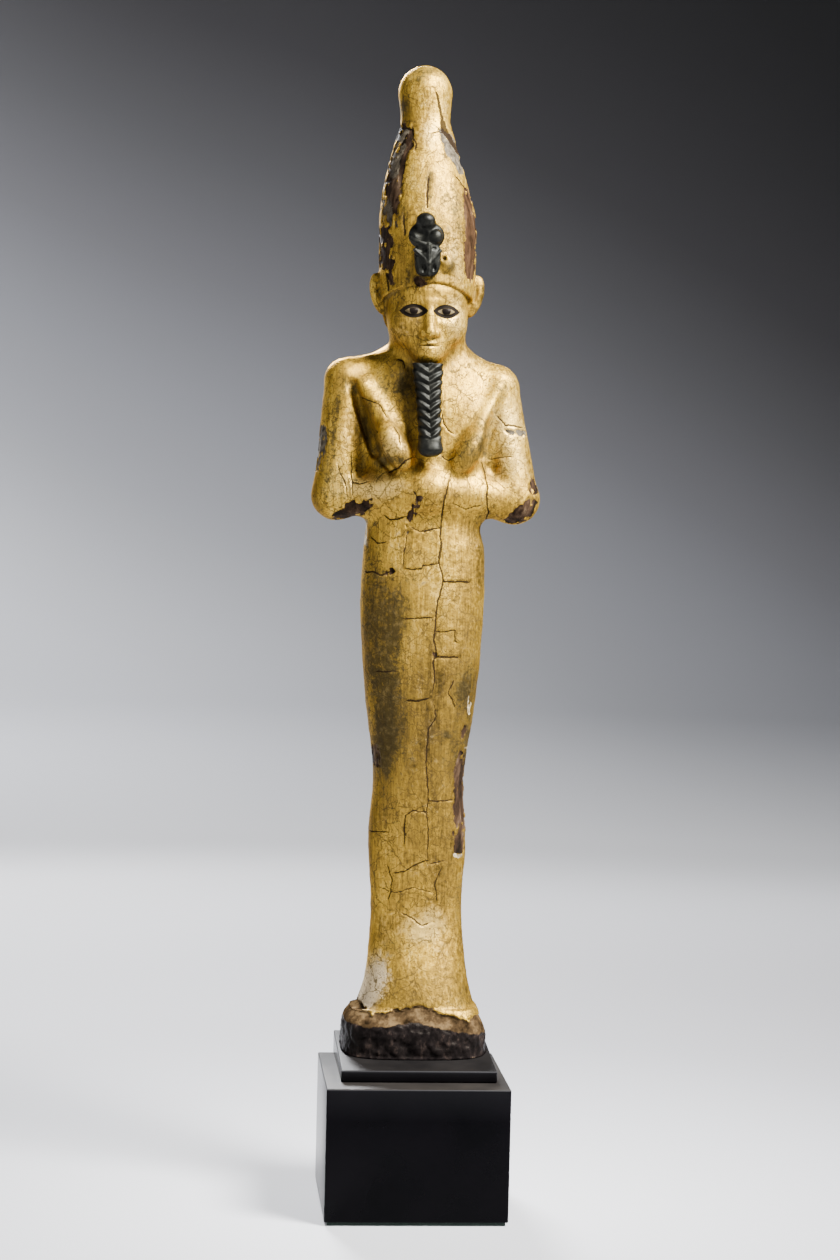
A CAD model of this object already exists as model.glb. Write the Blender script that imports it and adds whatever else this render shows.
import itertools
import math
from functools import partial, reduce

import bmesh
import bpy
import numpy as np
from mathutils import Matrix, Vector


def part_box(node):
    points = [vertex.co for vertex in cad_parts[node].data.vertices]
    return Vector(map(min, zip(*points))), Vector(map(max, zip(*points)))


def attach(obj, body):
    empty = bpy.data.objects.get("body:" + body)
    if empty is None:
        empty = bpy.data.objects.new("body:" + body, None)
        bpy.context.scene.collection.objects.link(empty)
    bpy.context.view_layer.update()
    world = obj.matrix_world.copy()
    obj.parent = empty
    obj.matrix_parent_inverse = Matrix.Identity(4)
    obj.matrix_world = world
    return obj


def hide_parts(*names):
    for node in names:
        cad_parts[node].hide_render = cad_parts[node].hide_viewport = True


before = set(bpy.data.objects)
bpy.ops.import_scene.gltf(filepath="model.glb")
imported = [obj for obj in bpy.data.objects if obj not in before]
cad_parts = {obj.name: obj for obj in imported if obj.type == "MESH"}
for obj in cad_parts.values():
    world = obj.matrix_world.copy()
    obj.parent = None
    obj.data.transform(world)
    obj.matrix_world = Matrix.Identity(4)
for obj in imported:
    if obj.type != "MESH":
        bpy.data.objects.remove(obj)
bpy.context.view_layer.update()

# Felt pad
# Dark green wool felt, 1.5 mm thick, cut a little smaller than the block and glued under it.
# It is matt and soft, and the knife leaves its edge slightly fuzzy.


def linear(colour):
    """An sRGB hex colour as linear red, green, blue and alpha."""
    values = [int(colour[n:n + 2], 16) / 255 for n in (1, 3, 5)]
    return [v / 12.92 if v <= 0.04045 else ((v + 0.055) / 1.055) ** 2.4 for v in values] + [1.0]


def add(tree, kind, inputs=None, **settings):
    """Adds one node: settings are its properties, inputs its sockets' values or what feeds them."""
    node = tree.nodes.new(kind)
    for name, value in settings.items():
        setattr(node, name, value)
    for name, value in (inputs or {}).items():
        if isinstance(value, bpy.types.NodeSocket):
            tree.links.new(value, node.inputs[name])
        else:
            node.inputs[name].default_value = value
    return node


def ramp(factor, *stops):
    """Colours over a factor, each stop with its place and a hex colour."""
    node = add(factor.id_data, "ShaderNodeValToRGB", {"Fac": factor})
    while len(node.color_ramp.elements) < len(stops):
        node.color_ramp.elements.new(0.5)
    for element, (place, tone) in zip(node.color_ramp.elements, stops):
        element.position = place
        element.color = linear(tone)
    return node.outputs["Color"]


def raised(height, distance, strength, below=None):
    """A surface raised by a distance where a height is 1, over another one or the plain shape."""
    settings = {"Height": height, "Distance": distance, "Strength": strength}
    if below:
        settings["Normal"] = below
    return add(height.id_data, "ShaderNodeBump", settings).outputs["Normal"]


def new_finish(name, **values):
    """A new material, its node tree and its shader, with values on the shader's own sockets."""
    material = bpy.data.materials.new(name)
    material.use_nodes = True
    tree = material.node_tree
    tree.nodes.clear()
    values = {key.replace("_", " "): value for key, value in values.items()}
    shader = add(tree, "ShaderNodeBsdfPrincipled", values)
    add(tree, "ShaderNodeOutputMaterial", {"Surface": shader.outputs["BSDF"]})
    return material, tree, shader


def feed(shader, **sockets):
    """Links what varies over the surface to the shader."""
    for name, socket in sockets.items():
        shader.id_data.links.new(socket, shader.inputs[name.replace("_", " ")])


def place_on(tree, scale=(1, 1, 1)):
    """Object coordinates, stretched along the axes."""
    place = add(tree, "ShaderNodeTexCoord").outputs["Object"]
    return add(tree, "ShaderNodeMapping", {"Vector": place, "Scale": scale}).outputs["Vector"]


def mottle(tree, size, detail=5.0, roughness=0.55, stretch=(1, 1, 1)):
    """Noise between 0 and 1 with lumps of the given size in metres."""
    settings = {"Vector": place_on(tree, stretch), "Scale": 0.6 / size, "Detail": detail,
                "Roughness": roughness}
    return add(tree, "ShaderNodeTexNoise", settings).outputs["Fac"]


def mix(a, b, t):
    return a + (b - a) * t


def smoothstep(low, high, value):
    t = np.clip((value - low) / (high - low), 0, 1)
    return t * t * (3 - 2 * t)


def lumps(place, size, seed):
    """Smooth noise between -1 and 1 at points, with lumps of the given size."""
    lattice = np.asarray(place) / size + 31.7 * seed
    cell = np.floor(lattice).astype(np.int64)
    part = lattice - cell
    part = part * part * (3 - 2 * part)
    total = 0
    for corner in itertools.product((0, 1), repeat=3):
        key = (cell + np.array(corner)[:, None]) * np.array([[73856093], [19349663], [83492791]])
        key = key[0] ^ key[1] ^ key[2] ^ (seed * 2654435)
        key = ((key ^ (key >> 13)) * 1274126177) & 0x7FFFFFFF
        weight = reduce(np.multiply, [p if c else 1 - p for c, p in zip(corner, part)])
        total = total + weight * (key / 0x3FFFFFFF - 1)
    return total


def eased_box(low, high, radius, rounds, cuts=0):
    """Points and faces of a box with rounded edges between two corners."""
    shape = bmesh.new()
    bmesh.ops.create_cube(shape, size=1)
    for corner in shape.verts:
        corner.co = [mix(a, b, c + 0.5) for a, b, c in zip(low, high, corner.co)]
    bmesh.ops.bevel(shape, geom=shape.edges, offset=radius, segments=rounds, profile=0.5,
                    affect="EDGES")
    if cuts:
        long = [edge for edge in shape.edges if edge.calc_length() > 4 * radius]
        bmesh.ops.subdivide_edges(shape, edges=long, cuts=cuts, use_grid_fill=True)
    bmesh.ops.recalc_face_normals(shape, faces=shape.faces)
    shape.verts.index_update()
    points = np.array([corner.co for corner in shape.verts])
    faces = [[corner.index for corner in face.verts] for face in shape.faces]
    shape.free()
    if cuts:
        # Subdividing stores the faces in another order from run to run, so they are put in one
        faces = sorted(ring[n:] + ring[:n] for ring in faces for n in [ring.index(min(ring))])
    return points, faces


def into_scene(name, data):
    """A new object in the scene, made of a mesh, a lamp or a camera."""
    thing = bpy.data.objects.new(name, data)
    bpy.context.scene.collection.objects.link(thing)
    return thing


def smooth_shape(name, points, faces, material):
    mesh = bpy.data.meshes.new(name)
    mesh.from_pydata([tuple(point) for point in points], [], [tuple(face) for face in faces])
    mesh.materials.append(material)
    mesh.shade_smooth()
    return into_scene(name, mesh)


def piece_of(name, points, faces, material, node):
    """A smooth piece in place of one CAD node, riding on the only body."""
    piece = smooth_shape(name, points, faces, material)
    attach(piece, "root")
    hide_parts(node)
    return piece


FELT_EASE = 0.0003
FELT_FUZZ = 0.00025

felt, tree, shader = new_finish("wool felt", Roughness=0.95, Specular_IOR_Level=0.2, Sheen_Weight=0.4)
# Fibres 0.4 mm thick, drawn as coarse as they need to show
fibres = mottle(tree, 0.0004)
feed(shader, Normal=raised(fibres, 0.0003, 0.8),
     Base_Color=ramp(fibres, (0.3, "#0F1A16"), (0.55, "#1C2B24"), (0.8, "#33453B")))

low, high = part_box("felt_pad")
points, faces = eased_box(low, high, FELT_EASE, 2, 60)
points[:, :2] *= 1 - FELT_FUZZ / high.x * (1 + lumps(points.T, 0.002, 1))[:, None]
piece_of("felt_pad_cut", points, faces, felt, "felt_pad")

# Plinth block and step
# Wood under black lacquer, rubbed down to a satin. The top edges of both are worn smooth and
# shine, and the step's top slopes up to the back under the figure.

LACQUER_EASE = 0.0007
STEP_FRONT_HEIGHT = 0.005
STEP_BACK_HEIGHT = 0.0099


def calc(operation, *values):
    """Arithmetic on sockets and numbers."""
    tree = next(value.id_data for value in values if isinstance(value, bpy.types.NodeSocket))
    node = add(tree, "ShaderNodeMath", dict(enumerate(values)), operation=operation)
    return node.outputs["Value"]


plus, minus, times, most = [partial(calc, operation)
                            for operation in ("ADD", "SUBTRACT", "MULTIPLY", "MAXIMUM")]


def over(mask, below, above, kind="RGBA"):
    """One colour or number laid over another where a mask is 1."""
    first, second, out = {"RGBA": (6, 7, 2), "FLOAT": (2, 3, 0)}[kind]
    inputs = {0: mask, first: below, second: above}
    return add(mask.id_data, "ShaderNodeMix", inputs, data_type=kind).outputs[out]


def stepped(value, low, high, start=0.0, end=1.0, way="SMOOTHSTEP"):
    """A step from one number to another while a value goes from low to high."""
    limits = {"Value": value, "From Min": low, "From Max": high, "To Min": start, "To Max": end}
    node = add(value.id_data, "ShaderNodeMapRange", limits, interpolation_type=way)
    return node.outputs["Result"]


def lacquer(name, dark, worn, dust):
    """Black lacquer, darker or more worn from place to place, with dust on what faces up."""
    material, tree, shader = new_finish(name, IOR=1.5)
    streaks = mottle(tree, 0.0009, 3, 0.5, (0.08, 0.08, 1))
    rubbed = mottle(tree, 0.014, 6, 0.6)
    facing = add(tree, "ShaderNodeNewGeometry").outputs["Normal"]
    upward = add(tree, "ShaderNodeSeparateXYZ", {"Vector": facing}).outputs["Z"]

    def from_sides_to_top(side, top):
        return stepped(upward, 0.2, 0.9, side, top, "LINEAR")

    tone = over(from_sides_to_top(0, 1), ramp(rubbed, (0.3, dark), (0.7, worn)),
                ramp(rubbed, (0.3, dust[0]), (0.7, dust[1])))
    edge = times(upward, minus(1.0, upward))
    tone = over(stepped(edge, 0.05, 0.25, 0, 0.15, "LINEAR"), tone, linear("#5C5C5F"))
    feed(shader, Base_Color=tone, Specular_IOR_Level=from_sides_to_top(0.04, 0.03),
         Roughness=from_sides_to_top(0.22, 0.5), Normal=raised(streaks, 0.00004, 0.25))
    return material


block_finish = lacquer("black lacquer", "#020203", "#050406", ("#1A1817", "#292623"))
step_finish = lacquer("worn black lacquer", "#070607", "#0C0B0C", ("#0E0D0D", "#1C1A19"))

points, faces = eased_box(*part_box("plinth_block"), LACQUER_EASE, 4)
piece_of("plinth_block_lacquered", points, faces, block_finish, "plinth_block")

step_low, step_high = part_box("plinth_step")
step_slope = (STEP_BACK_HEIGHT - STEP_FRONT_HEIGHT) / (step_high.y - step_low.y)
flat_top = Vector((step_high.x, step_high.y, step_low.z + STEP_FRONT_HEIGHT))
points, faces = eased_box(step_low, flat_top, LACQUER_EASE, 4)
upper = points[:, 2] > step_low.z + STEP_FRONT_HEIGHT / 2
points[upper, 2] += step_slope * (points[upper, 1] - step_low.y)
piece_of("plinth_step_lacquered", points, faces, step_finish, "plinth_step")

# Figure
# Carved from one piece of wood, coated with gesso and gilded, on a foot block of bare wood.
# It is drawn in thousandths of its own height, x to the viewer's right and -y to the front.

FIGURE_HEIGHT = 0.415
FOOT_BLOCK_WIDTH = 0.0628
FOOT_BLOCK_DEPTH = 0.045
FOOT_BLOCK_SIDE_HEIGHT = 0.0108
FOOT_BLOCK_EDGE = 0.002
STEP_BACK_MARGIN = 0.0025
SEAT_GAP = 0.0003
AXIS_BEHIND_BLOCK = 6
REST_DEPTH = 0.6
SHARE = FIGURE_HEIGHT / 1000

figure_y = step_high.y - STEP_BACK_MARGIN - FOOT_BLOCK_DEPTH / 2 + AXIS_BEHIND_BLOCK * SHARE
figure_z = step_low.z + STEP_FRONT_HEIGHT + step_slope * (figure_y - step_low.y) + SEAT_GAP
FIGURE_FOOT = np.array([(step_low.x + step_high.x) / 2, figure_y, figure_z])


def blend(a, b, width):
    """Two solids, given as distances, joined with a soft seam."""
    return np.minimum(a, b) - np.maximum(width - np.abs(a - b), 0) ** 2 / (4 * width)


def carve(a, b, width):
    return -blend(-a, b, width)


def ellipsoid(place, centre, radii):
    u, v, w = [(value - c) / r for value, c, r in zip(place, centre, radii)]
    rx, ry, rz = radii
    scaled = np.sqrt(u * u + v * v + w * w)
    steep = np.sqrt((u / rx) ** 2 + (v / ry) ** 2 + (w / rz) ** 2)
    return scaled * (scaled - 1) / np.maximum(steep, 1e-6)


def bar(place, start, end, start_radius, end_radius):
    """A bar with round ends that tapers from one radius to the other."""
    e = [b - a for a, b in zip(start, end)]
    d = [value - a for value, a in zip(place, start)]
    t = np.clip((d[0] * e[0] + d[1] * e[1] + d[2] * e[2]) / (e[0] ** 2 + e[1] ** 2 + e[2] ** 2), 0, 1)
    off = np.sqrt(sum((value - step * t) ** 2 for value, step in zip(d, e)))
    return off - mix(start_radius, end_radius, t)


def section(x, y, half_width, front, back, power):
    """A section between circle and rectangle, as deep in front and behind as it is told."""
    depth = np.where(y < 0, front, back)
    u, v = np.abs(x) / half_width, np.abs(y) / depth
    reach = np.maximum((u ** power + v ** power) ** (1 / power), 0.05)
    steep = np.hypot((u / reach) ** (power - 1) / half_width, (v / reach) ** (power - 1) / depth)
    return (reach - 1) / np.maximum(steep, 1e-6)


def curve_through(*stations):
    """Values of a row of stations at one height, on smooth curves through them."""
    heights, values = np.array(stations)[:, 0], np.array(stations)[:, 1:]
    slopes = np.zeros_like(values)
    slopes[1:-1] = (values[2:] - values[:-2]) / (heights[2:] - heights[:-2])[:, None]

    def at(height):
        k = np.clip(np.searchsorted(heights, height) - 1, 0, len(heights) - 2)
        span = heights[k + 1] - heights[k]
        t = np.clip((height - heights[k]) / span, 0, 1)[:, None]
        leave, arrive = slopes[k] * span[:, None], slopes[k + 1] * span[:, None]
        rise = values[k + 1] - values[k]
        bend = 3 * rise - 2 * leave - arrive + t * (leave + arrive - 2 * rise)
        return (values[k] + t * (leave + t * bend)).T
    return at


BODY_TOP = 745
body_at = curve_through(
    (-30, 62, 46, 34, 1.5), (24, 64, 51, 34, 1.5), (44, 60, 49.5, 33, 1.5), (60, 55.4, 46, 32, 2),
    (76, 51.8, 41.5, 30, 2), (99, 49.5, 35, 28, 1.5), (124, 47.3, 29, 27, 1),
    (150, 46.6, 27, 27.5, 0.5), (215, 50, 31, 36, 0),
    (280, 46.8, 37, 28, 0), (363, 57, 42, 38, 0), (450, 62.9, 44, 47, -0.5), (510, 61.5, 42, 40, 0),
    (531, 58.3, 41, 38, -1.2), (600, 64, 42, 38, 0), (655, 70, 40, 41, 0), (695, 52, 31, 37, 0),
    (725, 34, 28, 33, 0), (BODY_TOP, 32, 28, 33, 0))
crown_at = curve_through(
    (712, 35, 44, 35, -3, 2), (740, 43.5, 50, 43, -3, 2), (775, 48, 51, 46, -3, 2),
    (817, 49.4, 51, 47, -3, 4), (847, 48.8, 49.5, 47, -3.7, 6), (883, 41.3, 42.5, 41.5, -6, 10),
    (919, 32, 33.5, 33, -6.9, 14), (943, 25.2, 26.5, 26.5, -6.9, 16), (973, 27.3, 28, 28, -7.9, 18))
CROWN_TOP, CROWN_BROW, CROWN_ARCH, CROWN_NAPE = 973, 777, 0.0068, 726
CROWN_KNOB = (-7.9, 18, 972), (27.4, 28.2, 28)
TAIL_END, TAIL_HOLE = ((11.5, -43.5, 796), (8.5, 7, 10.5)), ((9.5, -52, 801), (2.8, 6, 2.8))
ARMS = [
    dict(neck=(-25, 8, 698), shoulder=(-82, 5, 679), elbow=(-91, -3, 562), wrist=(-8, -35, 569),
         knuckles=(-35, -48, 611), shoulder_radius=22, elbow_radius=23.6, ridge_radius=7.4),
    dict(neck=(25, 8, 697), shoulder=(70, 5, 675), elbow=(91.5, -3, 562), wrist=(8, -35, 569),
         knuckles=(39, -43, 608), shoulder_radius=23, elbow_radius=24, ridge_radius=5)]
CHANNELS = [
    dict(start=(-78, 674), end=(-53, 606), half=7.5, depth=5.2),
    dict(start=(-51, 604), end=(-36, 588), half=5.5, depth=3),
    dict(start=(76, 671), end=(53, 606), half=8, depth=1.6)]

HEAD_X, CHIN_Z, HEAD_HEIGHT, HEAD_HALF_WIDTH = -3, 697, 103, 41
EYE_Z = CHIN_Z + HEAD_HEIGHT / 2
NOSE_Z = CHIN_Z + HEAD_HEIGHT / 4
MOUTH_Z = CHIN_Z + HEAD_HEIGHT / 6
BROW_Z = EYE_Z + HEAD_HEIGHT * 0.1
EYE_WIDTH = 2 * HEAD_HALF_WIDTH / 5
EAR_Z = 767


def head_field(x, y, z):
    middle = (x - HEAD_X, y, z)
    side = (np.abs(x - HEAD_X), y, z)
    head = ellipsoid(middle, (0, -4, 752), (HEAD_HALF_WIDTH, 44, 50))
    head = blend(head, ellipsoid(middle, (0, -11, 732), (35, 36, 33)), 12)
    head = blend(head, ellipsoid(middle, (0, -7, 769), (40.5, 41.5, 24)), 5)
    head = blend(head, ellipsoid(side, (21, -26, 735), (14, 14, 15)), 14)
    head = blend(head, ellipsoid(middle, (0, -36, CHIN_Z + 8.5), (13, 13.5, 9.5)), 13)
    head = carve(head, ellipsoid(side, (EYE_WIDTH, -53, EYE_Z + 1), (12.5, 8, 8.5)), 8)
    head = blend(head, ellipsoid(side, (EYE_WIDTH, -37, EYE_Z), (9.5, 9.5, 6.2)), 1.5)
    head = blend(head, bar(side, (4, -44.8, BROW_Z - 1), (23, -36.5, BROW_Z), 2.6, 1.6), 5)
    head = blend(head, ellipsoid(middle, (0, -35, MOUTH_Z + 2), (18, 11.5, 15)), 9)
    head = blend(head, bar(middle, (0, -44.5, BROW_Z - 2), (0, -51.4, NOSE_Z + 5), 4.4, 5.8), 4.5)
    head = blend(head, ellipsoid(side, (5.8, -48, NOSE_Z + 3.4), (4.6, 5, 4.2)), 2)
    head = carve(head, ellipsoid(side, (3.6, -51.5, NOSE_Z - 1), (2, 3.2, 1.8)), 0.8)
    head = blend(head, bar(side, (0, -48.2, MOUTH_Z + 2.5), (11, -43.8, MOUTH_Z + 0.9), 2.6, 1.3), 1.2)
    head = blend(head, bar(side, (0, -47.8, MOUTH_Z - 2.9), (9, -44.6, MOUTH_Z - 1.8), 3, 1.7), 1.2)
    return carve(head, ellipsoid(middle, (0, -51.5, MOUTH_Z), (12.5, 5.6, 0.9)), 0.8)


def ear_field(x, y, z):
    out = np.abs(x - HEAD_X)
    place = (out - 0.2 * (z - EAR_Z), y + 0.12 * out, z)
    ear = ellipsoid(place, (46.8, 6, EAR_Z), (11, 5.5, 21.5))
    return carve(ear, ellipsoid(place, (46.5, -0.6, EAR_Z + 2), (4.4, 3.4, 10)), 2.5)


def crown_field(x, y, z):
    half_width, front, back, middle_x, middle_y = crown_at(z)
    crown = section(x - middle_x, y - middle_y, half_width, front, back, 2.1)
    crown = np.maximum(crown, z - CROWN_TOP)
    crown = np.minimum(crown, ellipsoid((x, y, z), *CROWN_KNOB))
    crown = blend(crown, ellipsoid((x, y, z), *TAIL_END), 2)
    crown = carve(crown, ellipsoid((x, y, z), *TAIL_HOLE), 1)
    brow = CROWN_BROW - CROWN_ARCH * (x - HEAD_X) ** 2
    edge = mix(brow, CROWN_NAPE, smoothstep(-12, 30, y))
    return carve(crown, z - edge, 2)


def arm_field(x, y, z, arm):
    round_shoulder, round_elbow = arm["shoulder_radius"], arm["elbow_radius"]
    limb = bar((x, y * 0.88, z), arm["shoulder"], arm["elbow"], round_shoulder, round_elbow)
    limb = blend(limb, bar((x, y, z), arm["neck"], arm["shoulder"], 17, round_shoulder - 1), 6)
    limb = blend(limb, bar((x, y, z), arm["elbow"], arm["wrist"], round_elbow - 1, 20), 8)
    side, (at_x, _, at_z) = np.sign(arm["elbow"][0]), arm["knuckles"]
    fist = (x - 0.4 * side * (z - at_z), y, z)
    limb = blend(limb, ellipsoid(fist, arm["knuckles"], (14, 13.5, 22)), 9)
    low, high = (at_x + 7 * side, -38, at_z + 20), (at_x + 30 * side, -22, at_z + 62)
    ridge = arm["ridge_radius"]
    return blend(limb, bar((x, y, z), low, high, ridge, ridge - 1), 16)


def to_line(x, z, points):
    """How far a point is from a line, on which side of it, how far along, and the width there."""
    nearest = np.full(x.shape, 1e3)
    side, along, width = np.zeros_like(x), np.zeros_like(x), np.zeros_like(x)
    steps = list(zip(points, points[1:]))
    lengths = [math.dist(a[:2], b[:2]) for a, b in steps]
    for n, (a, b) in enumerate(steps):
        ex, ez = b[0] - a[0], b[1] - a[1]
        t = np.clip(((x - a[0]) * ex + (z - a[1]) * ez) / lengths[n] ** 2, 0, 1)
        off = np.hypot(x - a[0] - ex * t, z - a[1] - ez * t)
        closer = off < nearest
        nearest = np.where(closer, off, nearest)
        side = np.where(closer, ((x - a[0]) * ez - (z - a[1]) * ex) / lengths[n], side)
        along = np.where(closer, (sum(lengths[:n]) + t * lengths[n]) / sum(lengths), along)
        if len(a) > 2:
            width = np.where(closer, mix(a[2], b[2], t), width)
    return nearest, side, along, width


def channel_depth(x, z, start, end, half, depth):
    off, _, along, _ = to_line(x, z, [start, end])
    return depth * smoothstep(half, half * 0.3, off) * mix(0.55, 1, smoothstep(0, 0.6, along))


WORN_SLOPE_LEFT, WORN_SLOPE_RIGHT, WORN_TOP, WORN_LEAN = 0.72, 0.58, 43, 0.058


def foot_block_field(x, y, z):
    half_width, half_depth = FOOT_BLOCK_WIDTH / 2 / SHARE, FOOT_BLOCK_DEPTH / 2 / SHARE
    back = y + AXIS_BEHIND_BLOCK
    upright = section(x, back, half_width, half_depth, half_depth, 3.4)
    rise = np.minimum(z, WORN_TOP) + WORN_LEAN * x - FOOT_BLOCK_SIDE_HEIGHT / SHARE
    slope = mix(WORN_SLOPE_LEFT, WORN_SLOPE_RIGHT, smoothstep(-half_width, half_width, x))
    slant = section(x, back, half_width - slope * rise, half_depth - slope * rise,
                    half_depth - slope * rise, 3.4)
    sides = carve(upright, -slant / np.hypot(1, slope), FOOT_BLOCK_EDGE / SHARE)
    return np.maximum(sides, z - WORN_TOP)


def within(z, low, high, form, otherwise, *rest):
    """A form that is only asked for near its own heights."""
    near = (z > low) & (z < high)
    result = otherwise.copy()
    result[near] = form(*(value[near] for value in (otherwise, *rest, z)))
    return result


def figure_field(x, y, z):
    half_width, front, back, middle_x = body_at(z)
    figure = np.maximum(section(x - middle_x, y, half_width, front, back, 2.35), z - BODY_TOP)

    def with_arms(figure, x, y, z):
        seam = mix(14, 26, smoothstep(0, 25, y))
        for arm in ARMS:
            figure = blend(figure, arm_field(x, y, z, arm), seam)
        return figure + sum(np.where(y < 0, channel_depth(x, z, **channel), 0) for channel in CHANNELS)

    figure = within(z, 500, 740, with_arms, figure, x, y)
    figure = within(z, 680, 830, lambda f, *p: blend(f, head_field(*p), 9), figure, x, y)
    figure = within(z, 700, 1030, lambda f, *p: np.minimum(f, crown_field(*p)), figure, x, y)
    figure = within(z, 735, 805, lambda f, *p: blend(f, ear_field(*p), 2.5), figure, x, y)
    figure = within(z, -30, 160, lambda f, *p: blend(f, foot_block_field(*p), 5), figure, x, y)
    underside = step_slope * y - z - REST_DEPTH
    return carve(figure, -underside, 1.5)


def slope_of(field, p, step=0.05):
    """Slope of a distance, from four samples at the corners of a small tetrahedron."""
    slope = np.zeros_like(p)
    for corner in np.array([(1, -1, -1), (-1, -1, 1), (-1, 1, -1), (1, 1, 1)]):
        slope += corner[:, None] * field(*(p + step * corner[:, None])) / (4 * step)
    return slope


def settle(field, p, rounds):
    """Moves points onto the surface."""
    for _ in range(rounds):
        slope = slope_of(field, p)
        p = p - slope * np.clip(field(*p) / np.maximum((slope ** 2).sum(0), 0.2), -2, 2)
    return p


def net_over(field, low, high, pitch, block=6):
    """One closed net of even quads where a distance is zero: every cell that the surface crosses
    holds one point, and every crossed edge of the lattice joins the four cells round it."""
    low = np.array(low, float)
    counts = np.ceil((np.array(high) - low) / pitch / block).astype(int)
    middles = np.indices(counts).reshape(3, -1)
    centres = low[:, None] + (middles + 0.5) * block * pitch
    distance = field(*centres)
    inside = np.repeat(np.repeat(np.repeat((distance < 0).reshape(counts), block, 0), block, 1), block, 2)
    values = np.where(inside, -1.0, 1.0).astype(np.float32)
    near = middles[:, np.abs(distance) < 1.3 * block * pitch] * block
    local = np.indices((block,) * 3).reshape(3, 1, -1)
    nodes = (near[:, :, None] + local).reshape(3, -1)
    values[tuple(nodes)] = field(*(low[:, None] + nodes * pitch))

    solid = values < 0
    corners = list(itertools.product((0, 1), repeat=3))
    size = np.array(solid.shape) - 1

    def at(corner):
        return solid[tuple(slice(c, c + n) for c, n in zip(corner, size))]

    crossed = reduce(np.logical_or, map(at, corners)) & ~reduce(np.logical_and, map(at, corners))
    cells = np.stack(np.nonzero(crossed))
    total, count = np.zeros(cells.shape), np.zeros(cells.shape[1])
    for a in corners:
        for axis in range(3):
            if a[axis]:
                continue
            b = tuple(c + (n == axis) for n, c in enumerate(a))
            first = values[tuple(cells + np.array(a)[:, None])]
            second = values[tuple(cells + np.array(b)[:, None])]
            cross = (first < 0) != (second < 0)
            share = np.where(cross, first / np.where(cross, first - second, 1), 0)
            place = np.array(a, float)[:, None] + share * (np.arange(3) == axis)[:, None]
            total += place * cross
            count += cross
    points = low[:, None] + (cells + total / count) * pitch

    numbers = np.full(crossed.shape, -1, np.int64)
    numbers[tuple(cells)] = np.arange(cells.shape[1])
    faces = []
    for axis in range(3):
        u, v = (axis + 1) % 3, (axis + 2) % 3
        reach = [slice(0, n) if m == axis else slice(1, n) for m, n in enumerate(size)]
        first = solid[tuple(reach)]
        reach[axis] = slice(1, size[axis] + 1)
        second = solid[tuple(reach)]
        edge = np.stack(np.nonzero(first != second))
        outward = first[tuple(edge)]
        edge = edge + np.array([0 if m == axis else 1 for m in range(3)])[:, None]
        ring = []
        for du, dv in ((1, 1), (0, 1), (0, 0), (1, 0)):
            cell = edge.copy()
            cell[u] -= du
            cell[v] -= dv
            ring.append(numbers[tuple(cell)])
        ring = np.stack(ring, 1)
        faces.append(np.where(outward[:, None], ring, ring[:, ::-1]))
    return points, np.concatenate(faces)


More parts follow.
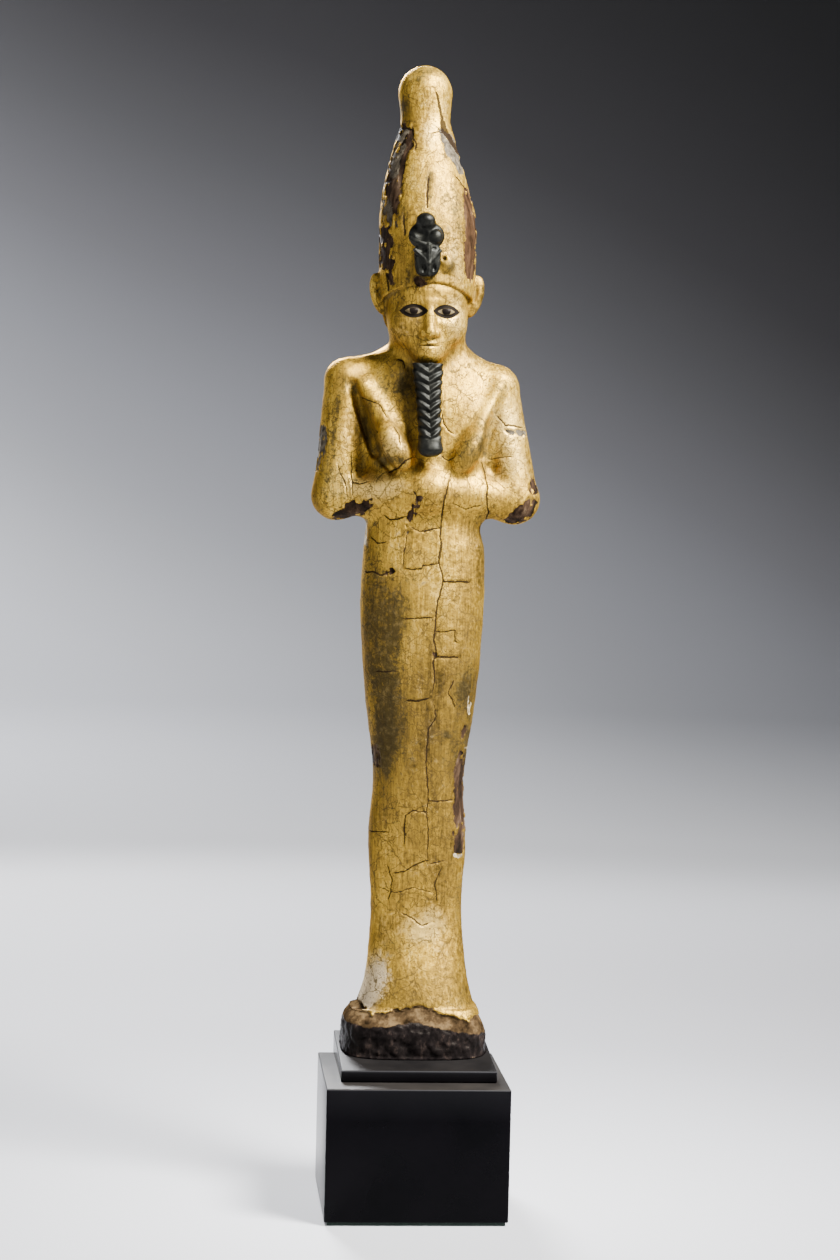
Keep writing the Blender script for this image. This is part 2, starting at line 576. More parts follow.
# Marks of age in the front view: x and height of each point, a third number is a half width
CRACKS = [
    (1.1, [(0, 972), (3, 966), (6, 953), (8, 943)]),
    (3.0, [(7, 945), (10, 934), (15, 926), (21, 919), (27, 910)]),
    (0.5, [(-3, 929), (3, 931), (10, 930)]),
    (0.8, [(-22, 937), (-22, 925), (-19, 917), (-20, 910)]),
    (0.9, [(-6, 886), (-8, 868), (-8, 850)]),
    (0.5, [(21, 886), (27, 880), (33, 873)]),
    (0.9, [(-31, 845), (-31, 835), (-29, 822)]),
    (1.0, [(-46, 788), (-44, 768)]),
    (0.6, [(-34, 701), (-27, 699), (-26, 691)]),
    (0.6, [(12, 648), (13, 637), (18, 631), (25, 626)]),
    (0.6, [(11, 605), (19, 600), (25, 604)]),
    (0.6, [(-77, 606), (-77, 580), (-75, 560)]),
    (0.5, [(-77, 576), (-69, 574), (-59, 577)]),
    (0.6, [(-92, 595), (-87, 583), (-82, 571), (-80, 559)]),
    (0.7, [(-42, 585), (-33, 590), (-25, 598), (-16, 603)]),
    (0.5, [(-37, 633), (-32, 624), (-31, 613)]),
    (0.8, [(53, 602), (58, 588), (60, 574), (59, 561), (62, 550), (61, 538)]),
    (0.5, [(61, 602), (70, 604), (87, 606)]),
    (0.8, [(68, 648), (78, 637), (87, 636), (98, 635)]),
    (0.6, [(-17, 569), (-13, 564), (-10, 558)]),
    (0.8, [(-23, 543), (-31, 540), (-38, 539), (-44, 544)]),
    (0.7, [(-17, 533), (-10, 529), (-3, 528), (6, 531), (15, 532)]),
    (0.9, [(22, 590), (19, 577), (15, 560), (14, 541), (13, 527), (14, 514), (12, 497), (16, 484),
           (16, 474), (12, 460), (10, 444), (10, 430), (8, 420), (12, 405), (9, 396), (10, 378),
           (8, 359)]),
    (0.6, [(8, 360), (12, 348), (13, 340), (5, 329), (5, 315), (4, 296), (6, 278), (8, 256), (6, 245),
           (8, 233), (9, 205), (9, 190)]),
    (1.0, [(46, 478), (30, 478), (15, 478)]),
    (0.6, [(12, 496), (-4, 494), (-5, 490), (-24, 490)]),
    (0.8, [(-62, 485), (-52, 486), (-46, 483), (-36, 487)]),
    (0.6, [(-56, 521), (-50, 515), (-40, 517)]),
    (0.5, [(-20, 527), (-23, 505), (-24, 491)]),
    (0.7, [(9, 442), (-7, 441), (-24, 440)]),
    (0.6, [(35, 416), (30, 418), (30, 429), (10, 427)]),
    (0.8, [(36, 402), (12, 402)]),
    (0.9, [(6, 360), (-6, 357), (-18, 357)]),
    (0.5, [(-49, 385), (-26, 387)]),
    (0.7, [(7, 256), (17, 255), (35, 256)]),
    (0.6, [(-15, 208), (-16, 224), (-15, 240), (-8, 245), (3, 244), (9, 239)]),
    (0.5, [(-50, 221), (-30, 222)]),
    (0.6, [(10, 194), (-3, 190), (-14, 182), (-27, 180)]),
    (0.5, [(11, 190), (27, 194)]),
    (0.7, [(-17, 140), (-6, 135), (4, 127), (13, 130)]),
    (0.5, [(-42, 640), (-52, 655), (-70, 662)]),
    (0.5, [(24, 557), (38, 552), (55, 556)]),
    (0.5, [(33, 350), (25, 366), (31, 380)]),
    (0.4, [(-40, 165), (-22, 160), (-5, 166), (18, 160)]),
    (0.4, [(-30, 150), (-26, 172), (-32, 190)]),
    (0.4, [(20, 150), (17, 171), (24, 186)]),
]
# Where the gilding has broken off: bare dark wood, grey gesso and white gesso
WOOD_LOSSES = [
    [(-31, 937, 3), (-29, 930, 8), (-31, 917, 8.5), (-35, 905, 7.5), (-38, 890, 8), (-41, 868, 8.5),
     (-44, 850, 7.5), (-47, 838, 4)],
    [(-48, 830, 5.5), (-47, 812, 7), (-45, 796, 6.5), (-42, 785, 3.5), (-40, 776, 1.5)],
    [(33, 873, 3), (36.5, 858, 6.5), (38.5, 838, 8), (39, 812, 8), (38.5, 796, 7.5), (38, 784, 4.5)],
    [(-90, 540, 5), (-80, 547, 8.5), (-68, 550, 8.5), (-58, 556, 4)],
    [(84, 541, 4), (92, 545, 8.5), (101, 551, 9.5), (107, 559, 5)],
    [(108, 582, 2.5), (109, 572, 5)],
    [(-10, 562, 2.5), (-13, 554, 4), (-16, 546, 4.5), (-20, 538, 2.5)],
    [(-39, 486, 2.5), (-35, 487, 2.5)],
    [(10, 405, 2.2), (10, 402, 1.5)],
    [(-46, 305, 4.5), (-46, 296, 5), (-44, 290, 3)],
    [(42, 303, 2.5), (41, 292, 6.5), (41, 270, 7.5), (42, 240, 8), (43, 220, 8), (43, 206, 7)],
    [(42, 320, 2.5), (44, 330, 2.5)],
    [(-15, 779, 4.5), (-10, 775, 4)],
]
BACK_CRACKS = [
    (0.9, [(6, 560), (9, 520), (4, 482), (7, 430), (2, 380), (5, 330), (1, 280)]),
    (0.7, [(1, 280), (-4, 232), (0, 170), (-3, 108)]),
    (0.7, [(7, 472), (-20, 475), (-48, 470)]),
    (0.6, [(46, 354), (26, 350), (4, 352)]),
    (0.6, [(-2, 250), (-18, 246), (-44, 251)]),
    (0.6, [(-8, 628), (-38, 622), (-74, 634)]),
    (0.7, [(18, 662), (44, 642), (62, 610)]),
    (0.8, [(9, 902), (14, 862), (9, 826)]),
    (0.6, [(-28, 824), (-24, 792), (-30, 762)]),
]
BACK_WOOD_LOSSES = [
    [(27, 910, 3), (34, 884, 5.5), (38, 850, 5)],
    [(-66, 560, 5), (-52, 552, 7), (-40, 557, 3.5)],
    [(-38, 306, 3.5), (-40, 272, 6), (-39, 238, 4.5)],
    [(20, 431, 2.5), (27, 424, 3)],
]
GREY_LOSSES = [
    [(8, 931, 3), (13, 925, 7), (19, 914, 9.5), (25, 903, 8.5), (28, 893, 4)],
    [(-28, 932, 3), (-34, 918, 5), (-38, 900, 4), (-40, 886, 3)],
    [(-48, 862, 3), (-46, 848, 5), (-40, 836, 4)],
    [(-107, 630, 4), (-109, 618, 6.5), (-111, 604, 6.5), (-112, 590, 4)],
    [(80, 631, 3), (88, 630, 3.4), (98, 630, 3.4)],
    [(-21, 534, 2), (-20, 527, 1.6)],
]
WHITE_LOSSES = [
    [(47, 362, 1), (48, 355, 2), (48, 345, 1.2)],
    [(46, 308, 1), (49, 306, 1.8)],
    [(38, 198, 1.4), (45, 197, 1.8)],
    [(-61, 536, 2.2), (-62, 524, 3), (-60, 514, 2)],
]
# Soft patches: x, height, half width, half height and strength
STAINS = [
    (-38, 440, 20, 72, 1.0), (-34, 345, 17, 72, 1.2), (-36, 300, 14, 28, 0.9), (-54, 450, 9, 50, 0.8),
    (46, 375, 14, 30, 0.95), (36, 310, 15, 34, 0.65), (38, 366, 9, 12, 0.9), (-100, 612, 10, 26, 0.7),
    (24, 323, 5, 5, 1.2), (48, 310, 5, 40, 1.2),
    (-60, 640, 7, 20, 0.3), (-52, 612, 8, 14, 0.35), (-76, 668, 4, 8, 1.1), (-60, 624, 5, 6, 0.7),
    (-52, 609, 5, 5, 0.9), (-46, 596, 5, 6, 0.9), (-29, 599, 4, 4, 1.2), (-42, 598, 6, 6, 0.8),
    (-86, 676, 3, 16, 0.9), (-92, 650, 3, 22, 0.8), (-96, 622, 3, 20, 0.8), (-88, 578, 4, 14, 0.9),
    (-100, 575, 6, 22, 0.7), (72, 677, 9, 15, 0.9), (55, 632, 11, 16, 0.9), (42, 610, 12, 14, 0.9),
    (36, 569, 11, 9, 0.9), (52, 611, 6, 9, 0.8), (-14, 782, 14, 9, 0.9), (-33, 846, 8, 11, 0.9),
    (17, 794, 7, 8, 0.95), (-24, 800, 5, 18, 0.8), (-20, 925, 8, 18, 0.45), (-31, 957, 6, 12, 1.3),
    (-16, 982, 10, 7, 1.2), (-6, 872, 5, 24, 1.1), (10, 868, 7, 22, 1.0), (22, 856, 6, 20, 0.9),
    (-95, 640, 6, 40, 0.35), (-33, 676, 16, 18, 1.3), (-84, 560, 14, 14, 0.5), (-23, 105, 13, 9, 0.7),
    (-25, 148, 10, 9, 0.5), (-10, 176, 5, 6, 0.6), (30, 148, 5, 9, 0.7), (-8, 992, 16, 5, 1.1),
    (-56, 760, 8, 12, 0.4), (30, 128, 4, 8, 0.5), (-45, 230, 10, 60, 0.35), (44, 170, 6, 60, 0.4),
    (-68, 48, 10, 9, 1.4), (8, 112, 16, 5, 0.4),
]
RUBBED = [
    (-44, 82, 16, 24, 0.9), (-44, 60, 14, 12, 0.6), (-32, 122, 10, 12, 0.3), (8, 125, 24, 20, 1.1),
    (-55, 572, 32, 14, 1.2), (26, 805, 14, 48, 0.6), (88, 620, 20, 60, 0.8), (-90, 600, 18, 60, 0.5),
    (-42, 610, 18, 22, 0.8), (-36, 732, 14, 24, 0.3), (0, 300, 60, 160, 0.12),
    (24, 740, 14, 26, 0.8), (0, 925, 16, 26, 0.8),
    (0, 505, 60, 40, 0.15), (72, 640, 26, 40, 0.35), (-80, 672, 10, 22, 0.4), (10, 960, 20, 20, 0.4),
    (50, 700, 40, 12, 0.4), (40, 660, 34, 34, 0.3),
]
DULLED = [
    (0, 350, 80, 110, 0.95), (-10, 210, 60, 80, 0.5), (0, 60, 70, 26, 0.9), (40, 220, 20, 100, 0.3),
    (-40, 880, 18, 100, 0.2), (-30, 740, 26, 40, 0.3), (-22, 660, 20, 46, 1.1), (44, 470, 26, 60, 0.3),
]
PALE_WOOD = [(39, 825, 16, 80, 1.0)]
CHALKY = [(-37, 84, 10, 14, 0.9), (-45, 66, 14, 15, 1.25), (-56, 50, 13, 10, 1.2)]
# Lower edge of the gilding on the feet, and the upper edge of the foot block's sides
GILDING_EDGE = np.array([(-76, 68), (-66, 64), (-58, 47), (-45, 39), (-25, 44), (-16, 46), (-1, 49),
                         (14, 47), (29, 40), (44, 37), (54, 33), (61, 37), (76, 35)]).T
BLOCK_RIM = np.array([(-76, 30), (-50, 27), (-30, 27), (-21, 30), (-1, 32), (19, 28), (29, 25),
                      (49, 22), (76, 18)]).T


MARK_REACH, CRACK_SPREAD = 8, 0.2


def near_line(x, z, points):
    """Which points lie near enough to a line to be marked by it."""
    across, up = [np.array(points)[:, n] for n in (0, 1)]
    return ((x > across.min() - MARK_REACH) & (x < across.max() + MARK_REACH)
            & (z > up.min() - MARK_REACH) & (z < up.max() + MARK_REACH))


def lost_area(x, z, losses, ragged):
    """How far inside a loss each point is, in shares; outside it is negative."""
    inside = np.full(x.shape, -float(MARK_REACH))
    for points in losses:
        near = near_line(x, z, points)
        off, _, _, width = to_line(x[near], z[near], points)
        inside[near] = np.maximum(inside[near], width - off + ragged[near])
    return inside


def patches(x, z, spots):
    total = np.zeros_like(x)
    for at_x, at_z, half_width, half_height, strength in spots:
        total += strength * np.exp(-((x - at_x) / half_width) ** 2 - ((z - at_z) / half_height) ** 2)
    return total


def marks_on(p, normal):
    """Every mark of age at points on the figure's surface."""
    x, _, z = p
    flakes = smoothstep(0.35, 0.75, lumps(p * [[1], [1], [0.5]], 3.4, 13))
    ragged = 1.6 * lumps(p, 7, 2) + 1.3 * lumps(p, 2.8, 3) - 6 * flakes
    facing = normal[1] + 0.1 * lumps(p, 12, 4)
    behind, before = 14 * smoothstep(0, 0.5, facing), 14 * smoothstep(0, -0.5, facing)
    front = smoothstep(0.5, 0, normal[1])
    marks = {
        "wood": np.maximum(lost_area(x, z, WOOD_LOSSES, ragged) - behind,
                           lost_area(x, z, BACK_WOOD_LOSSES, ragged) - before),
        "grey": lost_area(x, z, GREY_LOSSES, ragged) - behind,
        "white": lost_area(x, z, WHITE_LOSSES, ragged) - behind,
        "stain": mix(0.6 * patches(10 - 0.8 * x, z + 110, STAINS), patches(x, z, STAINS), front),
        "rubbed": patches(x, z, RUBBED) * front,
        "dulled": np.minimum(patches(x, z, DULLED), 1),
        "pale_wood": patches(x, z, PALE_WOOD),
        "chalky": patches(x, z, CHALKY) * front,
        "foot": np.interp(x, *GILDING_EDGE) + 3 * lumps(p, 8, 5) + 2.4 * lumps(p, 3.2, 6) - z,
        "rim": np.interp(x, *BLOCK_RIM) + 1.2 * lumps(p, 8, 7) - z,
    }
    side, reach = np.full(x.shape, float(MARK_REACH)), np.full(x.shape, -float(MARK_REACH))
    score = reach - side
    cracks = [(half, points, behind) for half, points in CRACKS]
    cracks += [(half, points, before) for half, points in BACK_CRACKS]
    for half, points, hidden in cracks:
        near = near_line(x, z, points)
        off, on_side, along, _ = to_line(x[near], z[near], points)
        ends = np.clip(np.minimum(along, 1 - along) * 10, 0.15, 1)
        value = (half + CRACK_SPREAD) * ends - off - hidden[near]
        better = value > score[near]
        chosen = np.nonzero(near)[0][better]
        side[chosen] = on_side[better]
        reach[chosen] = (value + np.abs(on_side))[better]
        score[chosen] = value[better]
    marks["crack_side"], marks["crack_reach"] = side, reach
    hollow = 1 - figure_field(*(p + 5 * normal)) / 5
    marks["dirt"] = np.clip(hollow * 1.3 - 0.1, 0, 1)
    return marks


def worn_relief(p, marks):
    """How far the surface stands out from the plain carved form, in shares."""
    gilded = smoothstep(0.5, -0.5, np.maximum(marks["wood"], marks["grey"]))
    gilded = gilded * smoothstep(0.6, -0.6, marks["foot"])
    crack = np.abs(marks["crack_side"])
    relief = 1.3 * (gilded - 1) + 0.35 * (smoothstep(0.5, -0.5, marks["white"]) - 1)
    relief -= smoothstep(-0.6, 0.6, marks["foot"])
    relief -= 0.7 * smoothstep(1.2, 0, crack) * (marks["crack_reach"] - crack > -1)
    lifted = np.sign(marks["crack_side"]) * smoothstep(9, 0.5, crack) * smoothstep(0.2, 1.2, crack)
    relief += 0.32 * lifted * (marks["crack_reach"] > -0.5) * gilded
    relief += 0.3 * lumps(p, 14, 8) + 0.2 * lumps(p, 5, 9) + 0.1 * lumps(p, 2, 14)
    block = smoothstep(-1, 2, marks["rim"])
    relief += block * (1.3 * lumps(p, 9, 10) + 0.9 * lumps(p, 4, 11) + 0.5 * lumps(p, 2, 12))
    return relief * smoothstep(-2, 3, p[2] - step_slope * p[1])


NET_PITCH = 0.0006 / SHARE
FIGURE_TRIANGLES = 194000
FIGURE_ROOM = (-122, -64, -8), (124, 56, 1006)

points, faces = net_over(figure_field, *FIGURE_ROOM, NET_PITCH)
points = settle(figure_field, points, 3)
normal = slope_of(figure_field, points)
normal /= np.linalg.norm(normal, axis=0)
points = points + worn_relief(points, marks_on(points, normal)) * normal
gold, gold_tree, gold_shader = new_finish("gold leaf on gesso")
carving = piece_of("osiris_figure_carved", points.T * SHARE + FIGURE_FOOT, faces, gold,
                   "osiris_figure")


def keep_triangles(piece, triangles):
    """Thins a dense net to the given number of triangles, most of them where it bends."""
    thinner = piece.modifiers.new("thinner", "DECIMATE")
    thinner.ratio = triangles / (2 * len(piece.data.polygons))
    dense = piece.data
    view = bpy.context.evaluated_depsgraph_get()
    piece.data = bpy.data.meshes.new_from_object(piece.evaluated_get(view))
    piece.modifiers.clear()
    bpy.data.meshes.remove(dense)
    piece.data.shade_smooth()


keep_triangles(carving, FIGURE_TRIANGLES)


def all_of(items, what):
    """One vector of every item of a mesh."""
    values = np.empty(3 * len(items))
    items.foreach_get(what, values)
    return values.reshape(-1, 3)


on_carving = (all_of(carving.data.vertices, "co") - FIGURE_FOOT).T / SHARE
facing = all_of(carving.data.vertex_normals, "vector").T
for name, values in marks_on(on_carving, facing).items():
    layer = carving.data.attributes.new(name, "FLOAT", "POINT")
    layer.data.foreach_set("value", np.asarray(values, np.float32))


def read(tree, name):
    return add(tree, "ShaderNodeAttribute", attribute_name=name).outputs["Fac"]


def paint_layers(shader, colour, roughness, metallic, layers):
    """Lays finishes over one another, each with its mask, colour, roughness and metallic share."""
    for mask, tone, rough, metal in layers:
        tone = linear(tone) if isinstance(tone, str) else tone
        colour = over(mask, colour, tone)
        roughness = over(mask, roughness, rough, "FLOAT")
        metallic = over(mask, metallic, metal, "FLOAT")
    feed(shader, Base_Color=colour, Roughness=roughness, Metallic=metallic)


EYE_RIM, EYE_ARCS, IRIS, LIP_LINE = 3.9, (10.5, 13.9), (0.8, 4.7), 11.5
SEAT_SHADE = 0.0004, 0.0014


def face_masks(tree):
    """Masks of the painted eyes' outlines, whites and irises and of the line between the lips."""
    place = add(tree, "ShaderNodeTexCoord").outputs["Object"]
    x, y, z = add(tree, "ShaderNodeSeparateXYZ", {"Vector": place}).outputs
    across = calc("ABSOLUTE", minus(x, FIGURE_FOOT[0] + HEAD_X * SHARE))
    u = calc("DIVIDE", minus(across, EYE_WIDTH * SHARE), SHARE)
    v = calc("DIVIDE", minus(z, FIGURE_FOOT[2] + EYE_Z * SHARE), SHARE)
    front = stepped(y, FIGURE_FOOT[1] - 20 * SHARE, FIGURE_FOOT[1] - 24 * SHARE)

    def circle(centre, radius):
        rise = minus(v, centre)
        return minus(calc("SQRT", plus(times(u, u), times(rise, rise))), radius)

    arc_centre, arc_radius = EYE_ARCS
    almond = most(circle(-arc_centre, arc_radius), circle(arc_centre, arc_radius))
    iris = most(circle(*IRIS), almond)
    rise = minus(z, FIGURE_FOOT[2] + MOUTH_Z * SHARE)
    off = calc("DIVIDE", calc("ABSOLUTE", rise), SHARE)
    lips = plus(off, calc("POWER", calc("DIVIDE", across, LIP_LINE * SHARE), 4.0))
    return [times(stepped(shape, edge, edge - 0.5), front)
            for shape, edge in ((almond, EYE_RIM), (almond, 0.0), (iris, 0.0), (lips, 1.1))]


def gild(tree, shader):
    """Worn gold leaf over gesso and wood, painted by the marks that the carving carries."""
    broad = mottle(tree, 0.009, 5, 0.6, (1, 1, 0.5))
    fine = mottle(tree, 0.0011, 5, 0.7)
    hairs = mottle(tree, 0.0005, 3, 0.6, (1, 1, 0.07))
    grit = mottle(tree, 0.00045, 2, 0.5)
    parts = ((broad, 0.42), (fine, 0.32), (hairs, 0.26))
    tone = reduce(plus, [times(*part) for part in parts])
    colour = ramp(tone, (0.38, "#58461D"), (0.46, "#93732B"), (0.53, "#BD9731"), (0.62, "#E6C05A"))
    roughness = stepped(fine, 0.35, 0.65, 0.44, 0.6)

    def warped(amount, scale):
        noise = add(tree, "ShaderNodeTexNoise", {"Vector": place_on(tree), "Scale": scale, "Detail": 4.0})
        pull = add(tree, "ShaderNodeVectorMath", {0: noise.outputs["Color"], 1: [amount] * 3},
                   operation="MULTIPLY")
        place = add(tree, "ShaderNodeVectorMath", {0: place_on(tree, (1, 1, 0.8)),
                                                   1: pull.outputs["Vector"]}, operation="ADD")
        return place.outputs["Vector"]

    def hairlines(scale, width, patch_size, low, high):
        edge = add(tree, "ShaderNodeTexVoronoi", {"Vector": warped(0.005, 220.0), "Scale": scale},
                   feature="DISTANCE_TO_EDGE").outputs["Distance"]
        patchy = stepped(mottle(tree, patch_size, 4), low, high)
        return times(stepped(edge, width, 0.0), patchy)

    # Cells 9 mm and 3.3 mm across, with hairlines drawn as wide as they need to show
    crazing = most(hairlines(110.0, 0.034, 0.012, 0.42, 0.52),
                   hairlines(300.0, 0.065, 0.009, 0.44, 0.54))

    wander = times(minus(mottle(tree, 0.0025, 5, 0.7), 0.5), 5.0)
    crack_side = calc("ABSOLUTE", plus(read(tree, "crack_side"), wander))
    crack = stepped(minus(read(tree, "crack_reach"), crack_side), -0.15, 0.25)

    def edge_of(name, width=0.3):
        ragged = times(minus(mottle(tree, 0.0016, 6, 0.75), 0.5), 7.0)
        return stepped(plus(read(tree, name), ragged), -width, width)

    def spread(name, low, high, amount=1.0, grain=1.6, size=0.005, ragged=1.3, stretch=(1, 1, 1)):
        """A patch that breaks up at its edge, into lumps and into grains."""
        broken = mottle(tree, size, 5, 0.6, stretch)
        broken = times(minus(broken, 0.5), ragged)
        speckled = times(minus(fine, 0.5), grain)
        value = plus(plus(read(tree, name), broken), speckled)
        return stepped(value, low, high, 0.0, amount)

    wood, grey, white, foot = [edge_of(name) for name in ("wood", "grey", "white", "foot")]
    block = edge_of("rim", 0.8)
    specks = stepped(plus(grit, times(broad, 0.25)), 0.73, 0.79)
    outline, eyeball, iris, lip_line = face_masks(tree)
    grain = mottle(tree, 0.003, 6, 0.7, (1, 1, 0.3))
    dark_wood = ramp(grain, (0.38, "#15100B"), (0.5, "#2F2218"), (0.6, "#4B3A2B"), (0.7, "#6E5B45"))
    pale_wood = ramp(grain, (0.38, "#1E140B"), (0.5, "#372618"), (0.6, "#4A3726"), (0.7, "#67523B"))
    wood_tone = over(stepped(read(tree, "pale_wood"), 0.2, 0.8), dark_wood, pale_wood)
    grey_tone = ramp(mottle(tree, 0.002, 6, 0.7), (0.35, "#2C2820"), (0.5, "#50483B"),
                     (0.65, "#736957"))
    white_tone = ramp(mottle(tree, 0.0014, 5, 0.7), (0.36, "#51452F"), (0.5, "#85785E"),
                      (0.62, "#B3A68C"))
    ochre_tone = ramp(mottle(tree, 0.004, 6, 0.7), (0.36, "#1A130A"), (0.5, "#3E301F"),
                      (0.64, "#685438"))
    block_tone = ramp(mottle(tree, 0.003, 6, 0.75, (1, 1, 0.6)), (0.42, "#0A0808"), (0.57, "#181413"),
                      (0.67, "#332A25"), (0.75, "#6C5A41"))
    stain_tone = ramp(mottle(tree, 0.0016, 5, 0.7), (0.3, "#12100A"), (0.52, "#272214"),
                      (0.7, "#54472B"))
    dulled = plus(read(tree, "dulled"), times(minus(broad, 0.5), 0.6))
    dull_tone = ramp(tone, (0.38, "#342B18"), (0.46, "#584623"), (0.53, "#785D24"), (0.62, "#9C7A2E"))
    # Over the leaf: where it is dull, rubbed bright or chalky, dirt in the hollows, crazing, specks,
    # dark stains, the painted eyes, the line of the lips, and what lies bare in losses and cracks
    paint_layers(shader, colour, roughness, 0.85, [
        (times(dulled, 0.85), dull_tone, 0.5, 0.85),
        (spread("rubbed", 0.25, 1.15, 0.65), "#E2BE6C", 0.5, 0.7),
        (spread("chalky", 0.2, 1.2, 0.7, 2.2), "#B3A68F", 0.75, 0.05),
        (spread("dirt", 0.25, 0.9, 0.75), "#4F4124", 0.7, 0.3),
        (times(crazing, 0.9), "#382A12", 0.7, 0.2),
        (times(specks, 0.75), "#4A3718", 0.7, 0.2),
        (spread("stain", 0.2, 1.35, 0.9, 4.0, 0.006, 2.6, (1, 1, 0.3)), stain_tone, 0.6, 0.5),
        (outline, "#14100C", 0.65, 0.0),
        (eyeball, "#5F5239", 0.6, 0.0),
        (iris, "#14100E", 0.3, 0.0),
        (times(lip_line, 0.85), "#33240F", 0.7, 0.2),
        (wood, wood_tone, 0.75, 0.0),
        (grey, grey_tone, 0.85, 0.0),
        (white, white_tone, 0.85, 0.0),
        (foot, ochre_tone, 0.8, 0.0),
        (times(foot, block), block_tone, 0.38, 0.0),
        (times(crack, 0.95), "#1E150C", 0.8, 0.0),
    ])
    bump = raised(grit, 0.00012, 0.4, raised(fine, 0.0004, 0.5))
    bump = raised(crazing, 0.0002, -0.6, bump)
    bump = raised(most(crack, specks), 0.0003, -1.0, bump)
    bare = reduce(most, [wood, grey, foot, crack, outline])
    # Leaf shines more than bare wood, and nothing shines where the foot block meets its step
    _, y, z = add(tree, "ShaderNodeSeparateXYZ", {"Vector": place_on(tree)}).outputs
    seat = calc("MULTIPLY_ADD", y, step_slope, FIGURE_FOOT[2] - step_slope * FIGURE_FOOT[1])
    above_seat = stepped(minus(z, seat), *SEAT_SHADE)
    gloss = stepped(bare, 0.0, 1.0, 0.5, 0.05)
    bare_slope = times(foot, minus(1.0, block))
    matt = times(above_seat, minus(1.0, bare_slope))
    feed(shader, Normal=bump, Specular_IOR_Level=times(gloss, matt),
         Specular_Tint=over(bare, linear("#E8CA86"), linear("#E6D6C0")))


gild(gold_tree, gold_shader)

# Cobra
# Small bronze cobra at the front of the crown, its hood spread and its head raised, cast in one.
# Its patina is nearly black, and rubbed metal shows on the high places.

COBRA_X = -8.8
COBRA_HOLLOWS = [
    ((-7, -61, 824.5), (8, 6, 6), 1.5), ((-5, -61.5, 808), (5.2, 5, 3.8), 1),
    ((8.3, -61.5, 810), (4.6, 4.5, 2.4), 1), ((-2.8, -60.5, 789.5), (3, 4.5, 5.2), 1),
    ((7.8, -60, 790.5), (2.8, 4, 4), 1)]
COBRA_RIBS = [
    ((-16, -53.5, 820), (0.5, -58, 812), 2.2), ((1.8, -58.5, 813), (2, -59, 795), 2.2),
    ((-11.5, -56, 808), (1.5, -59, 795.5), 2.1), ((13.5, -55.5, 808), (2.5, -59, 795.5), 2),
    ((-9.5, -56, 800), (-7, -56, 786), 2), ((3, -58.5, 795), (2.5, -57.5, 784), 2)]


def cobra_field(x, y, z):
    p = (x - COBRA_X, y, z)
    square = section(p[0] - 1.5, z - 799, 12.8 + 0.06 * (z - 799), 16.5, 16.5, 3.5)
    body = carve(square, -ellipsoid(p, (1.5, -47, 799), (18, 13, 26)), 2)
    cobra = blend(body, ellipsoid(p, (0, -50, 823), (18, 9, 14.5)), 3)
    cobra = blend(cobra, ellipsoid(p, (-1.4, -55, 837.5), (9.6, 10, 8.2)), 4)
    cobra = blend(cobra, ellipsoid(p, (8.6, -55.5, 822), (7, 5.6, 7)), 1.5)
    for centre, radii, edge in COBRA_HOLLOWS:
        cobra = carve(cobra, ellipsoid(p, centre, radii), edge)
    for start, end, radius in COBRA_RIBS:
        cobra = blend(cobra, bar(p, start, end, radius, radius), 1)
    return cobra


bronze, tree, shader = new_finish("patinated bronze", Metallic=0.8, Specular_IOR_Level=0.3)
patina = mottle(tree, 0.002, 6, 0.65)
feed(shader, Base_Color=ramp(patina, (0.3, "#10100D"), (0.55, "#1F1F1B"), (0.75, "#3B3A33")),
     Roughness=stepped(patina, 0.3, 0.7, 0.4, 0.58),
     Normal=raised(mottle(tree, 0.0008, 4), 0.0001, 0.5))


def cast(name, field, low, high, pitch, node):
    """A bronze casting: a net over its distance, set on the figure."""
    points, faces = net_over(field, low, high, pitch / SHARE)
    points = settle(field, points, 3)
    return piece_of(name, points.T * SHARE + FIGURE_FOOT, faces, bronze, node)


cast("cobra_cast", cobra_field, (-30, -70, 778), (14, -40, 848), 0.00018, "cobra")

# Beard
# Long plaited beard of the same bronze, hung from the chin in front of the chest, with rows of
# chevrons pointing down and a smooth knob at the end.

BEARD_TOP, BEARD_END = (-4.2, -45, 696.5), (-0.6, -57.5, 609)
BEARD_ROWS = 8
BEARD_RELIEF = 1.4
BEARD_KNOB_ABOVE, BEARD_KNOB_RADII = 2, (12.4, 9.8, 8.5)
beard_at = curve_through((0, 15.4, 9.5), (0.35, 13, 9.2), (0.8, 11.6, 8.8), (1, 12, 9.4))


def beard_field(x, y, z):
    t = (BEARD_TOP[2] - z) / (BEARD_TOP[2] - BEARD_END[2])
    half_width, half_depth = beard_at(t)
    across_x, across_y = [value - mix(top, end, np.clip(t, 0, 1))
                          for value, top, end in zip((x, y), BEARD_TOP, BEARD_END)]
    aside = np.clip(np.abs(across_x) / half_width, 0, 1)
    chevron = t / 0.86 - 0.12 * (1 - aside) + 0.012 * lumps((x, y, z), 7, 21)
    relief = BEARD_RELIEF * mix(1, 0.4, aside) * smoothstep(0.88, 0.82, t)
    relief = relief * (1 + 0.35 * lumps((x, y, z), 6, 22))
    plait = relief * np.cos(2 * np.pi * BEARD_ROWS * chevron)
    beard = section(across_x, across_y, half_width + plait, half_depth + plait, half_depth, 2.4)
    beard = np.maximum(beard, z - BEARD_TOP[2])
    knob_z = BEARD_END[2] + BEARD_KNOB_ABOVE
    knob = ellipsoid((across_x, across_y, z), (0, 0, knob_z), BEARD_KNOB_RADII)
    return blend(np.maximum(beard, knob_z - z), knob, 3)


cast("beard_cast", beard_field, (-24, -72, 596), (18, -30, 700), 0.0002, "beard")

# Floor, lights and camera
# A pale studio floor that curves up far away, darker at the top and at the right. A soft lamp at
# the upper right with a weak fill at the left, and two more behind for the floor and the wall.
# The camera stands where the photograph was taken from.

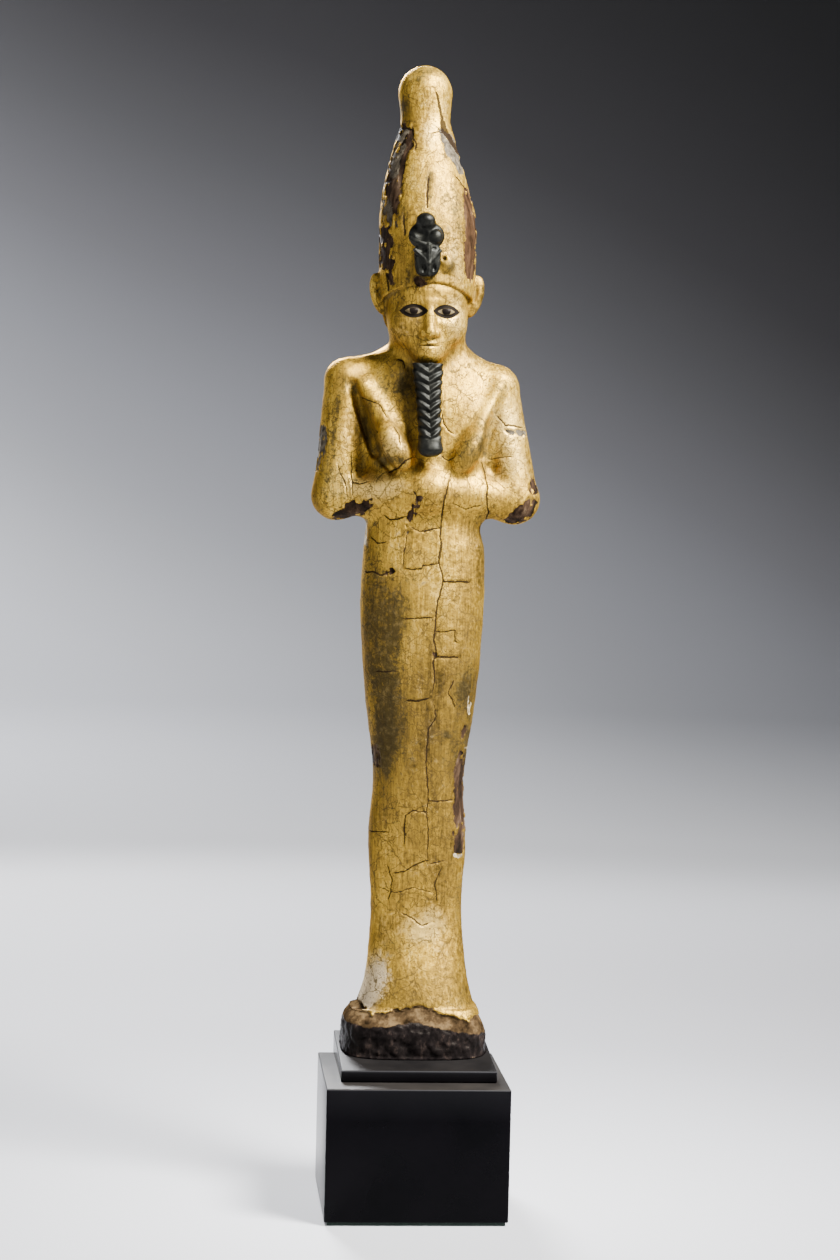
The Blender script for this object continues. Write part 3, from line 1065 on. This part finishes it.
FLOOR_RADIUS, WALL_BEND, WALL_HEIGHT = 2.6, 1.5, 3.2
FLOOR_RINGS, BEND_RINGS, TURNS = 8, 12, 96
# How much darker the paper is to the right: evenly, faster further out, and in the middle
DARKER_EVENLY, DARKER_FASTER, DARKER_MIDDLE = 0.3, 0.25, 0.035

profile = [(FLOOR_RADIUS * n / FLOOR_RINGS, 0) for n in range(FLOOR_RINGS)]
profile += [(FLOOR_RADIUS + WALL_BEND * math.sin(turn), WALL_BEND * (1 - math.cos(turn)))
            for turn in np.linspace(0, math.pi / 2, BEND_RINGS)]
profile.append((FLOOR_RADIUS + WALL_BEND, WALL_HEIGHT))
points = [(radius * math.cos(2 * math.pi * n / TURNS), radius * math.sin(2 * math.pi * n / TURNS), z)
          for radius, z in profile for n in range(TURNS)]
rings = np.arange(len(points)).reshape(-1, TURNS)
after = np.roll(rings, -1, axis=1)
faces = np.stack([rings[:-1], after[:-1], after[1:], rings[1:]], -1).reshape(-1, 4).tolist()

paper, tree, shader = new_finish("studio paper", Roughness=0.9)
x, y, z = add(tree, "ShaderNodeSeparateXYZ", {"Vector": place_on(tree)}).outputs
from_middle = calc("SQRT", plus(times(x, x), times(y, y)))
bent = times(x, calc("ABSOLUTE", x))
slant = plus(times(bent, DARKER_FASTER), calc("MULTIPLY_ADD", x, DARKER_EVENLY, DARKER_MIDDLE))
aside = times(slant, stepped(from_middle, 0.0, 0.5))
near = plus(stepped(from_middle, 0.0, 0.4, 0.22, 0.55), aside)
far = minus(near, stepped(from_middle, 0.52, 1.3, 0.0, 0.48))
shade = times(plus(z, far), 0.5)
tones = ramp(shade, (0.05, "#CECED0"), (0.134, "#A3A3A5"), (0.204, "#959598"), (0.285, "#818184"),
             (0.36, "#6D6C6E"), (0.47, "#525152"), (0.6, "#353334"), (0.85, "#141313"))
tones.node.color_ramp.interpolation = "B_SPLINE"
feed(shader, Base_Color=tones)
floor = smooth_shape("studio_floor", points, faces, paper)

world = bpy.data.worlds.new("studio air")
world.use_nodes = True
air = world.node_tree.nodes["Background"].inputs
air["Color"].default_value = linear("#9AA0AA")
air["Strength"].default_value = 0.08
bpy.context.scene.world = world


def soft_lamp(name, place, size, watts, colour, aim=(0, 0.015, 0.24), spread=180):
    """A round lamp with an even glow, turned to the figure's middle or to another place."""
    light = bpy.data.lights.new(name, "AREA")
    light.shape = "DISK"
    light.size = size
    light.spread = math.radians(spread)
    light.energy = watts
    light.color = linear(colour)[:3]
    lamp = into_scene(name, light)
    lamp.location = place
    lamp.visible_camera = False
    lamp.rotation_euler = (Vector(place) - Vector(aim)).to_track_quat("Z", "Y").to_euler()


soft_lamp("key_lamp", (0.6, -0.5, 1.1), 0.5, 110, "#FFFFFF")
soft_lamp("fill_lamp", (-1.5, -1.1, 0.6), 1.0, 9, "#F4F6FF")
soft_lamp("back_lamp", (-0.25, 1.2, 0.9), 0.4, 29, "#FBFCFF", (0, 0, 0.12), 100)
soft_lamp("wall_lamp", (-1.45, 1.7, 0.9), 1.0, 80, "#F4F7FF", (-0.3, 3.2, 0.1))

CAMERA_PLACE = (-0.1032, -1.2046, 0.3082)
CAMERA_TURN, CAMERA_DROP, CAMERA_ROLL = -0.0846, 0.0538, 0.0236
FOCAL_LENGTH = 82.61

across = Vector((math.cos(CAMERA_TURN), math.sin(CAMERA_TURN), 0))
ahead = Vector((-math.sin(CAMERA_TURN) * math.cos(CAMERA_DROP),
                math.cos(CAMERA_TURN) * math.cos(CAMERA_DROP), -math.sin(CAMERA_DROP)))
upward = across.cross(ahead)
right = math.cos(CAMERA_ROLL) * across + math.sin(CAMERA_ROLL) * upward
upward = math.cos(CAMERA_ROLL) * upward - math.sin(CAMERA_ROLL) * across
camera = into_scene("camera", bpy.data.cameras.new("camera"))
camera.data.lens = FOCAL_LENGTH
camera.data.sensor_width = 36
camera.data.clip_end = 50
camera.matrix_world = Matrix((right, upward, -ahead)).transposed().to_4x4()
camera.location = CAMERA_PLACE
bpy.context.scene.camera = camera
